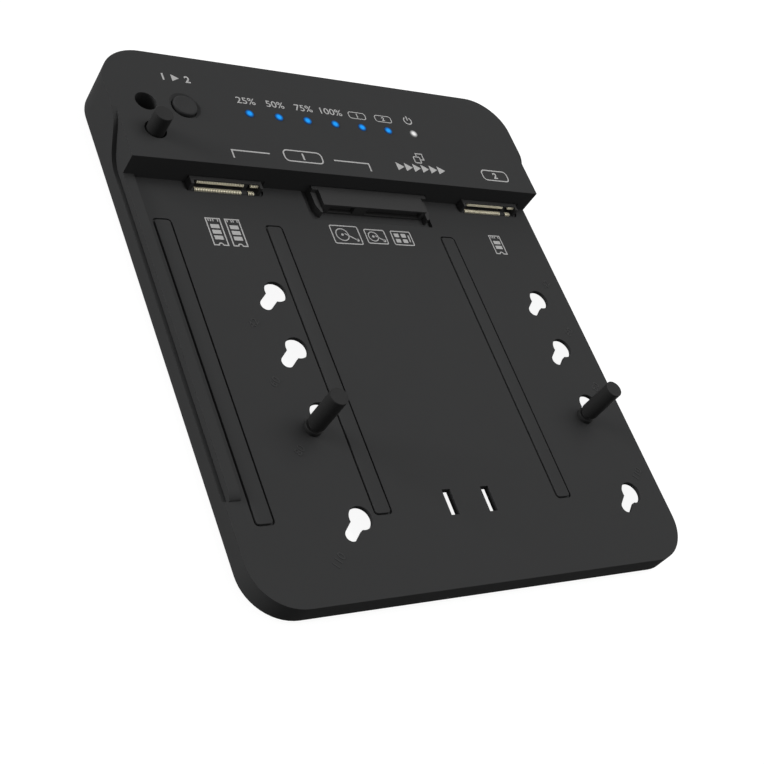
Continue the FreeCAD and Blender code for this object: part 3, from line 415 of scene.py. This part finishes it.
def strips():
    """Rubber strips, a hair proud of the plate, with a fine gap round them and eased top edges."""
    inset, rise, ease = 0.27, 0.16, 0.1
    for side in ("left", "mid", "right"):
        low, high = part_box("pad_" + side)
        x, y = (low.x + high.x) / 2 / MM, (low.y + high.y) / 2 / MM
        w, l = (high.x - low.x) / MM - 2 * inset, (high.y - low.y) / MM - 2 * inset
        top = plate_z / MM + rise
        bm = bmesh.new()
        rings = []
        for z, less_by in ((low.z / MM, 0), (top - ease, 0), (top - ease * 0.3, ease * 0.3), (top, ease)):
            rings.append([bm.verts.new((px * MM, py * MM, z * MM))
                          for px, py in rounded_box(x, y, w - 2 * less_by, l - 2 * less_by, 0.85)])
        for a, b in zip(rings, rings[1:]):
            for i in range(len(a)):
                j = (i + 1) % len(a)
                bm.faces.new((a[i], a[j], b[j], b[i]))
        bm.faces.new(rings[0])
        bm.faces.new(rings[-1])
        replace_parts(piece("strip_" + side, bm, STRIP, "dock"), "pad_" + side)


strips()


def ribbon(bm, x, width, path, thick):
    """Bent strip of even thickness along (y, z) points, its width across x; millimetres."""
    path = [Vector(p) for p in path]
    rings = []
    for i, here in enumerate(path):
        way = (path[min(i + 1, len(path) - 1)] - path[max(i - 1, 0)]).normalized()
        off = Vector((-way.y, way.x)) * thick / 2
        rings.append([bm.verts.new((px * MM, p.x * MM, p.y * MM))
                      for px, p in ((x - width / 2, here - off), (x + width / 2, here - off),
                                    (x + width / 2, here + off), (x - width / 2, here + off))])
    for a, b in zip(rings, rings[1:]):
        for i in range(4):
            j = (i + 1) % 4
            bm.faces.new((a[i], a[j], b[j], b[i]))
    bm.faces.new(rings[0])
    bm.faces.new(rings[-1])


PIN_SHIFT, PIN_W, PIN_T = 0.3, 0.24, 0.13
PIN_IN = 0.3                 # contact's tip, behind its lip


def card_pins(side):
    """Two rows of bent spring contacts in a card socket: the lower ones hook over the lip, the upper hang."""
    node = "card_contacts_" + side
    bm = bmesh.new()
    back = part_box(node)[1].y / MM
    for low, high in islands(node):
        x = (low.x + high.x) / 2 / MM + PIN_SHIFT
        y, z0, z1 = low.y / MM, low.z / MM, high.z / MM
        lip = y - PIN_IN
        if high.z < plate_z + 1 * MM:
            ribbon(bm, x, PIN_W, [(lip + 1.1, z0 - 0.05), (lip + 0.75, z0 + 0.18), (lip + 0.35, z0 + 0.24),
                                  (lip + 0.02, z0 + 0.12), (lip - 0.14, z0 - 0.12), (lip - 0.16, z0 - 0.34)],
                   PIN_T)
        else:
            ribbon(bm, x, PIN_W, [(back, z1 - 0.3), (lip + 0.9, z1 - 0.5), (lip + 0.3, z1 - 0.82),
                                  (lip - 0.12, z1 - 0.84), (lip - 0.3, z1 - 0.66), (lip - 0.2, z1 - 0.34),
                                  (lip + 0.08, z1 - 0.06)], PIN_T)
    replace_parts(piece("card_pins_" + side, bm, GOLD, "dock"), node)


card_pins("left")
card_pins("right")


def surrounds():
    """Floors of the pockets round the three sockets, with a lip behind that closes the view inside."""
    hf, deck = head_front / MM, plate_z / MM
    gap, reach, corner, tall = 1.2, 3.6, 2.0, 2.6
    for side in ("left", "right"):
        low, high = [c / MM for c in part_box("card_socket_" + side)]
        x0, x1 = low.x - gap + FIT, high.x + gap - FIT
        y0 = hf - reach + FIT
        front = low.y - FIT
        outline = [(x0, hf + 0.5)] + arc(x0 + corner, y0 + corner, corner, 180, 270, 6)
        outline += arc(x1 - corner, y0 + corner, corner, 270, 360, 6)
        outline += [(x1, hf + 0.5), (high.x + FIT, hf + 0.5), (high.x + FIT, front), (low.x - FIT, front),
                    (low.x - FIT, hf + 0.5)]
        pocket("pocket_card_" + side, outline, deck - 1.1, deck - 0.6,
               ((x0, low.x - FIT), (high.x + FIT, x1)), hf, deck + tall)
    low, high = [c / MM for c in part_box("drive_socket")]
    x0, x1 = DRIVE_OPEN[0] + FIT, DRIVE_OPEN[1] - FIT
    a, b, tip, face = low.x - FIT, high.x + FIT, low.y - FIT, hf - 6.6 - FIT
    outline = [(x0, hf + 0.5), (x0, hf - 10.2 + FIT), (x1, hf - 10.2 + FIT), (x1, hf + 0.5), (b, hf + 0.5),
               (b, tip + 2.5), (b - 1.1, tip), (b - 1.85 - FIT, tip), (b - 1.85 - FIT, face), (a + 1.85 + FIT, face),
               (a + 1.85 + FIT, tip), (a + 1.1, tip), (a, tip + 2.5), (a, hf + 0.5)]
    pocket("pocket_drive", outline, deck - 1.29, deck - 1.14, ((x0, a), (b, x1)), hf, deck + 2.75)


def pocket(name, outline, low, high, walls, hf, top):
    """Flat floor between two heights with upright walls behind its ends; millimetres."""
    bm = bmesh.new()
    polygon(bm, outline, low * MM)
    thicken(bm, high - low, 0)
    for x0, x1 in walls:
        wall = bmesh.new()
        polygon(wall, [(x0, hf + 0.2), (x1, hf + 0.2), (x1, hf + 0.45), (x0, hf + 0.45)], high * MM)
        thicken(wall, top - high, 0.05)
        mesh = bpy.data.meshes.new("wall")
        wall.to_mesh(mesh)
        wall.free()
        bm.from_mesh(mesh)
        bpy.data.meshes.remove(mesh)
    return piece(name, bm, HOUSING, "dock")


def figure(name, text, x, y, width, height, z, finish, turn=0.0, rise=0.02, bold=0.005):
    """Flat figures on an upward face, fitted to a width and height in millimetres."""
    curve = bpy.data.curves.new(name, "FONT")
    curve.body = text
    curve.offset = bold
    curve.resolution_u = 6
    tool = bpy.data.objects.new(name + "_tool", curve)
    bpy.context.scene.collection.objects.link(tool)
    bpy.context.view_layer.update()
    mesh = bpy.data.meshes.new_from_object(tool.evaluated_get(bpy.context.evaluated_depsgraph_get()))
    bpy.data.objects.remove(tool)
    bm = bmesh.new()
    bm.from_mesh(mesh)
    bpy.data.meshes.remove(mesh)
    bmesh.ops.remove_doubles(bm, verts=bm.verts, dist=1e-6)
    low = Vector([min(v.co[i] for v in bm.verts) for i in range(3)])
    high = Vector([max(v.co[i] for v in bm.verts) for i in range(3)])
    size = high - low
    wide = width if width else height * size.x / size.y
    fit = Matrix.Diagonal((wide * MM / size.x, height * MM / size.y, 1, 1)) @ Matrix.Translation(-(low + high) / 2)
    place = Matrix.Translation((x, y, z)) @ Matrix.Rotation(radians(turn), 4, "Z")
    bmesh.ops.transform(bm, matrix=place @ fit, verts=bm.verts)
    thicken(bm, rise)
    return piece(name, bm, finish, "dock")


def thicken(bm, rise, sink=0.01):
    """Give a flat shape a thickness in millimetres: up by rise and a little down into its ground."""
    for vert in bm.verts:
        vert.co.z -= sink * MM
    grown = bmesh.ops.extrude_face_region(bm, geom=bm.faces[:])
    moved = [g for g in grown["geom"] if isinstance(g, bmesh.types.BMVert)]
    bmesh.ops.translate(bm, vec=(0, 0, (rise + sink) * MM), verts=moved)


def strip_line(bm, points, width, z, closed=False):
    """Flat line of even width through points, with mitred corners; millimetres but z."""
    path = [Vector(p) for p in points]
    count = len(path)
    sides = []
    for i, here in enumerate(path):
        before = path[i - 1] if closed or i > 0 else None
        after = path[(i + 1) % count] if closed or i < count - 1 else None
        a = (here - before).normalized() if before is not None else None
        b = (after - here).normalized() if after is not None else None
        way = ((a or b) + (b or a)).normalized()
        across = Vector((-way.y, way.x))
        edge = a or b
        reach = width / 2 / max(0.3, across.dot(Vector((-edge.y, edge.x))))
        sides.append((here + across * reach, here - across * reach))
    verts = [[bm.verts.new((p.x * MM, p.y * MM, z)) for p in pair] for pair in sides]
    pairs = list(zip(verts, verts[1:]))
    if closed:
        pairs.append((verts[-1], verts[0]))
    for (a, b), (c, d) in pairs:
        bm.faces.new((a, b, d, c))


def disc(bm, x, y, r, z, turns=24):
    """Flat disc; millimetres but z."""
    bm.faces.new([bm.verts.new((px * MM, py * MM, z)) for px, py in arc(x, y, r, 0, 360, turns)[:-1]])


def polygon(bm, points, z):
    """Flat polygon; millimetres but z."""
    bm.faces.new([bm.verts.new((x * MM, y * MM, z)) for x, y in points])


def arc(x, y, r, start, end, steps=32):
    """Points of an arc, degrees."""
    return [(x + r * cos(radians(start + (end - start) * i / steps)),
             y + r * sin(radians(start + (end - start) * i / steps))) for i in range(steps + 1)]


def printed(name, bm):
    """Finish a flat printed mark."""
    thicken(bm, 0.02)
    return piece(name, bm, INK, "dock")


LINE = 0.45
row = lamp_y / MM
lamp_x = [mid("lamp_" + lamp).x / MM for lamp in LAMPS]
front_mm = head_front / MM


def scale_figures():
    """Percentages behind the first four lamps and the places' numbers behind the next two."""
    for lamp, text, width in zip(LAMPS, ("25%", "50%", "75%", "100%"), (6.1, 5.95, 6.0, 7.6)):
        figure("figures_" + lamp, text, mid("lamp_" + lamp).x + 0.35 * MM, lamp_y + 4.9 * MM, width, 2.4,
               head_z, INK)
    for lamp, text in (("source", "1"), ("target", "2")):
        framed("place_" + lamp, text, mid("lamp_" + lamp).x / MM, row + 4.7, 6.0, 2.5, 1.55, 0.28)


def place_figures():
    """Numbers of the two places, on the head."""
    framed("place_1", "1", -16.1, front_mm + 5.6, 12.6, 4.0, 2.4, 0.42)
    framed("place_2", "2", 54.9, front_mm + 5.9, 10.2, 4.0, 2.4, 0.42)


def framed(name, text, x, y, w, h, tall, line):
    """Number in a rounded frame."""
    bm = bmesh.new()
    strip_line(bm, rounded_box(x, y, w, h, h * 0.35), line, head_z, True)
    printed("frame_" + name, bm)
    figure("figure_" + name, text, x * MM, y * MM, 0, tall, head_z, INK, bold=0.035)


def size_figures():
    """Raised card lengths beside the keyholes, turned along them."""
    for side, x, shift in (("left", columns[0], -6.0), ("right", columns[1], 10.2)):
        for size in CARD_LENGTHS:
            y = seat_y - size * MM + shift * MM
            figure("size_%s_%d" % (side, size), str(size), x + shift * MM, y, 0, 2.3, plate_z, RAISED,
                   turn=45.0, rise=0.10)


def power_sign():
    """Ring open at the back, with a bar."""
    bm = bmesh.new()
    x, y = lamp_x[6], row + 5.45
    strip_line(bm, arc(x, y - 0.1, 1.4, 125, 415), LINE * 0.85, head_z)
    strip_line(bm, [(x, y), (x, y + 1.75)], LINE * 0.85, head_z)
    printed("sign_power", bm)


def arrows():
    """Row of six arrowheads, from the first place to the second."""
    bm = bmesh.new()
    for i in range(6):
        x = 16.725 + i * 3.086
        y = front_mm + 5.8
        polygon(bm, [(x, y - 1.55), (x + 2.7, y), (x, y + 1.55)], head_z)
    printed("sign_arrows", bm)


def brackets():
    """Bracket over the first place, open where its number stands."""
    bm = bmesh.new()
    y0, y1 = front_mm + 2.65, front_mm + 5.5
    strip_line(bm, [(-39.075, y0), (-39.075, y1), (-27.075, y1)], LINE, head_z)
    strip_line(bm, [(-5.775, y1), (6.225, y1), (6.225, y0)], LINE, head_z)
    printed("sign_bracket", bm)


def copy_sign(name, x, y, size):
    """Two overlapping sheets."""
    bm = bmesh.new()
    s = size
    strip_line(bm, rounded_box(x - 0.18 * s, y - 0.18 * s, 0.62 * s, 0.62 * s, 0.1 * s), LINE * 0.8, head_z, True)
    e = 0.49 * s
    path = [(x - 0.13 * s, y + 0.22 * s), (x - 0.13 * s, y + e), (x + e, y + e), (x + e, y - 0.13 * s),
            (x + 0.22 * s, y - 0.13 * s)]
    strip_line(bm, path, LINE * 0.8, head_z)
    printed(name, bm)


def start_sign(x, y):
    """From the first place to the second: 1, an arrowhead, 2."""
    bm = bmesh.new()
    polygon(bm, [(x - 1.1, y - 1.25), (x + 1.2, y), (x - 1.1, y + 1.25)], head_z)
    printed("sign_start", bm)
    for text, step in (("1", -3.7), ("2", 3.7)):
        figure("figure_start_" + text, text, (x + step) * MM, y * MM, 0, 2.5, head_z, INK,
               bold=0.03)


def chip_drive_sign(name, x, y, w, h):
    """Outline of a drive without a platter: case, four chips and the connector's edge."""
    bm = bmesh.new()
    strip_line(bm, rounded_box(x, y, w, h, 0.5), LINE * 0.8, plate_z, True)
    for sx in (-1, 1):
        for sy in (-1, 1):
            cx, cy = x + sx * w * 0.18 - w * 0.07, y + sy * h * 0.2
            polygon(bm, rounded_box(cx, cy, w * 0.24, h * 0.27, 0.15, 2), plate_z)
    polygon(bm, rounded_box(x + w * 0.36, y, 0.45, h * 0.5, 0.1, 2), plate_z)
    printed(name, bm)


CARD_EDGES = {1: "||| |", 2: "| || |"}       # contacts and gaps, by how many keys the card has


def card_sign(name, x, y, w, h, keys=1):
    """Outline of a card: notch at its front edge, contacts and keys at its back edge, chips between."""
    bm = bmesh.new()
    n = 0.16 * w
    x0, x1, y0, y1 = x - w / 2, x + w / 2, y - h / 2, y + h / 2
    notch = [(x - n, y0)] + arc(x, y0, n, 180, 0, 8)[1:-1] + [(x + n, y0)]
    strip_line(bm, [(x0, y1), (x0, y0)] + notch + [(x1, y0), (x1, y1)], LINE * 0.8, plate_z, True)
    contacts = CARD_EDGES[keys]
    for i, mark in enumerate(contacts):
        if mark == "|":
            cx = x0 + (i + 1) * w / (len(contacts) + 1)
            strip_line(bm, [(cx, y1 - 1.0), (cx, y1 - 0.1)], 0.32, plate_z)
    chips = 3 if h > 8 else 2
    for i in range(chips):
        cy = y0 + n + 0.9 + (i + 0.5) * (h - n - 2.6) / chips
        half = (h - n - 2.6) / chips / 2 - 0.3
        a, b = x0 + 0.8, x1 - 0.8
        polygon(bm, [(a, cy - half), (b, cy - half), (b, cy + half), (a, cy + half)], plate_z)
    printed(name, bm)


def drive_sign(name, x, y, w, h):
    """Outline of a disk drive: case, platter with its hub, and arm."""
    bm = bmesh.new()
    strip_line(bm, rounded_box(x, y, w, h, 0.5), LINE * 0.8, plate_z, True)
    r = h * 0.33
    cx = x - w * 0.14
    strip_line(bm, arc(cx, y, r, 0, 352, 40), LINE * 0.7, plate_z)
    disc(bm, cx, y, 0.4, plate_z)
    tip = Vector((cx + r * 0.45, y + r * 0.2))
    base = Vector((x + w * 0.36, y - h * 0.27))
    strip_line(bm, [tip, base], LINE * 0.8, plate_z)
    disc(bm, base.x, base.y, 0.5, plate_z)
    printed(name, bm)


surrounds()
scale_figures()
place_figures()
size_figures()
power_sign()
arrows()
brackets()
start_sign(mid("start_button").x / MM, row + 10.2)
copy_sign("sign_copy", 26.475, front_mm + 9.9, 3.8)
card_sign("sign_card_left_1", columns[0] / MM - 7.0, front_mm - 16.9, 4.2, 9.0)
card_sign("sign_card_left_2", columns[0] / MM - 1.2, front_mm - 16.9, 4.2, 9.0, 2)
card_sign("sign_card_right", columns[1] / MM - 2.1, front_mm - 15.4, 4.2, 7.0)
drive_sign("sign_drive_large", -5.2, front_mm - 15.2, 9.4, 6.4)
drive_sign("sign_drive_small", 5.2, front_mm - 15.2, 7.0, 5.0)
chip_drive_sign("sign_drive_chips", 14.6, front_mm - 15.2, 7.0, 5.0)


# ---------------------------------------------------------------- screws
def less(obj, cutter):
    """Cut one mesh object by another and drop the cutter."""
    tool = obj.modifiers.new("cut", "BOOLEAN")
    tool.operation = "DIFFERENCE"
    tool.solver = "EXACT"
    tool.use_self = True
    tool.object = cutter
    bpy.context.view_layer.update()
    mesh = bpy.data.meshes.new_from_object(obj.evaluated_get(bpy.context.evaluated_depsgraph_get()))
    obj.modifiers.clear()
    obj.data = mesh
    bpy.data.objects.remove(cutter)


def cross_cutter(places, z, reach, depth):
    """Tapered cross recesses, open downwards."""
    bm = bmesh.new()
    for x, y in places:
        for turn in (0, 90):
            a = radians(turn)
            across, along = Vector((cos(a), sin(a), 0)), Vector((-sin(a), cos(a), 0))
            rings = []
            for level, w, l in ((z - 0.2 * MM, 0.30, reach), (z + depth * MM, 0.18, reach * 0.45)):
                rings.append([bm.verts.new(Vector((x, y, level)) + across * (s * w * MM) + along * (t * l * MM))
                              for s, t in ((-1, -1), (1, -1), (1, 1), (-1, 1))])
            for i in range(4):
                j = (i + 1) % 4
                bm.faces.new((rings[0][i], rings[0][j], rings[1][j], rings[1][i]))
            bm.faces.new(rings[0])
            bm.faces.new(rings[1])
    bmesh.ops.recalc_face_normals(bm, faces=bm.faces)
    mesh = bpy.data.meshes.new("cross")
    bm.to_mesh(mesh)
    bm.free()
    obj = bpy.data.objects.new("cross", mesh)
    bpy.context.scene.collection.objects.link(obj)
    return obj


def screws(name, node, corners, reach, depth):
    """Screws with threads and cross recesses; corners are from the head's face."""
    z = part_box(node)[0].z
    places = [((low.x + high.x) / 2, (low.y + high.y) / 2) for low, high in islands(node)]
    bm = bmesh.new()
    for x, y in places:
        lathe(bm, [(r * MM, z + h * MM, f * MM) for r, h, f in corners], x, y, turns=40, steps=3)
    obj = piece(name, bm, SCREW, "dock", sharp=30.0)
    less(obj, cross_cutter(places, z, reach, depth))
    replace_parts(obj, node)


def threaded(r, start, end, pitch=0.7, depth=0.14):
    """Rings of a screw thread between two heights."""
    corners = []
    h = start
    while h + pitch < end:
        corners += [(r - depth, h, 0), (r, h + pitch * 0.45, 0), (r, h + pitch * 0.6, 0)]
        h += pitch
    return corners + [(r - depth, h, 0), (r - 0.35, end, 0.1), (0, end, 0)]


screws("case_screws_cut", "case_screws",
       [(0, 0, 0), (2.4, 0, 0.1), (1.15, 1.0, 0.1)] + threaded(1.15, 1.2, 4.7), 1.1, 0.75)
screws("board_screws_cut", "board_screws",
       [(0, 0, 0), (1.5, 0.02, 0.35), (1.9, 0.45, 0.2), (1.9, 0.8, 0.05), (0.95, 0.8, 0.05)]
       + threaded(0.95, 1.0, 5.9), 0.85, 0.5)


# ---------------------------------------------------------------- stage, light and camera
def stage():
    """Pale floor that keeps the object's shadow, and a white surround."""
    bm = bmesh.new()
    bmesh.ops.create_grid(bm, x_segments=8, y_segments=8, size=4.0)
    mesh = bpy.data.meshes.new("floor")
    bm.to_mesh(mesh)
    bm.free()
    floor = bpy.data.objects.new("floor", mesh)
    bpy.context.scene.collection.objects.link(floor)
    floor.location.z = -0.05 * MM
    mat = bpy.data.materials.new("floor_paper")
    mat.use_nodes = True
    n = Nodes(mat.node_tree)
    seen = seen_directly(n)
    paper = n.add("ShaderNodeBsdfDiffuse", Color=rgba(grey(0.16)))
    glow = n.add("ShaderNodeEmission", Color=rgba(grey(1.0)), Strength=FLOOR_GLOW)
    both = n.add("ShaderNodeAddShader", i0=paper.outputs["BSDF"], i1=glow.outputs["Emission"])
    plain = n.add("ShaderNodeBsdfDiffuse", Color=rgba(grey(0.11)))
    mix = n.add("ShaderNodeMixShader", i0=seen, i1=plain.outputs["BSDF"], i2=both.outputs["Shader"])
    n.add("ShaderNodeOutputMaterial", Surface=mix.outputs["Shader"])
    mesh.materials.append(mat)


def seen_directly(n):
    """1 where the camera sees a surface straight, in a mirror or through glass."""
    path = n.add("ShaderNodeLightPath")
    total = n.add("ShaderNodeMath", _operation="ADD", _use_clamp=True, i0=path.outputs["Is Camera Ray"],
                  i1=path.outputs["Is Transmission Ray"])
    return n.add("ShaderNodeMath", _operation="ADD", _use_clamp=True, i0=total.outputs["Value"],
                 i1=path.outputs["Is Glossy Ray"]).outputs["Value"]


FLOOR_GLOW = 0.93
HORIZON, SKY = 0.19, 0.52


def surround():
    """White surround where it is seen straight, in gloss or through glass; a dimmer one, bright overhead, as light."""
    world = bpy.data.worlds.new("surround")
    bpy.context.scene.world = world
    world.use_nodes = True
    n = Nodes(world.node_tree)
    white = n.add("ShaderNodeBackground", Color=rgba(grey(1.0)), Strength=1.0)
    up = n.add("ShaderNodeSeparateXYZ", Vector=n.add("ShaderNodeTexCoord").outputs["Generated"])
    lift = n.ramp(up.outputs["Z"], 0.0, 1.0, HORIZON, SKY)
    dim = n.add("ShaderNodeBackground", Color=rgba(grey(1.0)), Strength=lift)
    mix = n.add("ShaderNodeMixShader", i0=seen_directly(n), i1=dim.outputs["Background"],
                i2=white.outputs["Background"])
    n.add("ShaderNodeOutputWorld", Surface=mix.outputs["Shader"])


def lamp(name, way, distance, size, level):
    """Square studio lamp in a direction from the object; level is the light that it gives a surface facing it."""
    light = bpy.data.lights.new(name, "AREA")
    light.shape = "SQUARE"
    light.size = size
    light.energy = level * (pi * distance) ** 2
    obj = bpy.data.objects.new(name, light)
    bpy.context.scene.collection.objects.link(obj)
    obj.location = Vector(way).normalized() * distance
    obj.rotation_euler = obj.location.to_track_quat("Z", "Y").to_euler()


def camera():
    """Long lens from the left and front, a little off centre as the photographed view is framed."""
    data = bpy.data.cameras.new("camera")
    data.sensor_width = 36.0
    data.lens = 63.334
    data.shift_x = -0.0674
    data.shift_y = 0.0076
    data.clip_start = 0.01
    data.clip_end = 20.0
    obj = bpy.data.objects.new("camera", data)
    bpy.context.scene.collection.objects.link(obj)
    obj.location = (-0.22093, -0.17904, 0.24876)
    obj.rotation_euler = (radians(39.771), radians(-30.351), radians(-24.0425))
    bpy.context.scene.camera = obj


stage()
surround()
lamp("key", (0.40, 0.16, 1.0), 1.0, 0.7, 0.72)
lamp("side", (-0.90, 0.40, 0.11), 1.6, 0.7, 1.14)
camera()
bpy.context.scene.view_settings.view_transform = "Standard"
